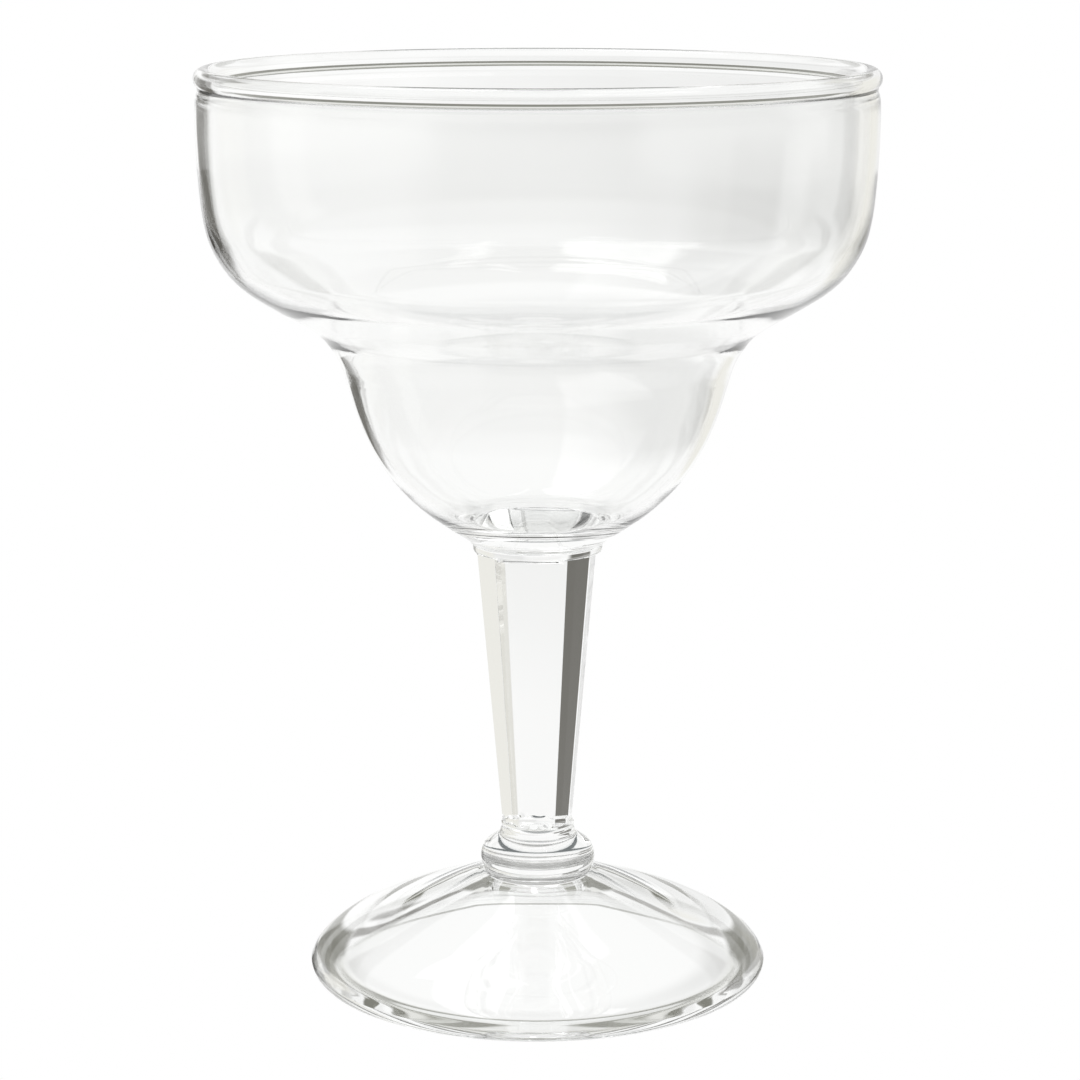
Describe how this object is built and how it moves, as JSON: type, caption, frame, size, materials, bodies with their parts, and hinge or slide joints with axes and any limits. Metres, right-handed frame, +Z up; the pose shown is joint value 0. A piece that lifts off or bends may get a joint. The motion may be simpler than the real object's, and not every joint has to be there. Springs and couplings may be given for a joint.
{
  "type": "margarita glass",
  "caption": "Clear moulded stemware glass with a wide upper bowl stepped down to a smaller lower bowl, a tapered stem with cut corners, and a domed hollow foot.",
  "frame": {"origin": "centre of the ring that the foot stands on, on the table", "axes": "+Z up along the axis of the glass, from the foot to the rim; -Y towards the viewer of the reference view"},
  "size_m": [0.114, 0.114, 0.1567],
  "materials": {
    "bowl_plastic": "clear polished moulding",
    "stem_plastic": "clear polished moulding, solid section",
    "foot_plastic": "clear polished moulding"
  },
  "bodies": {
    "root": {"bowl": "bowl_plastic", "stem": "stem_plastic", "foot": "foot_plastic"}
  },
  "joints": []
}
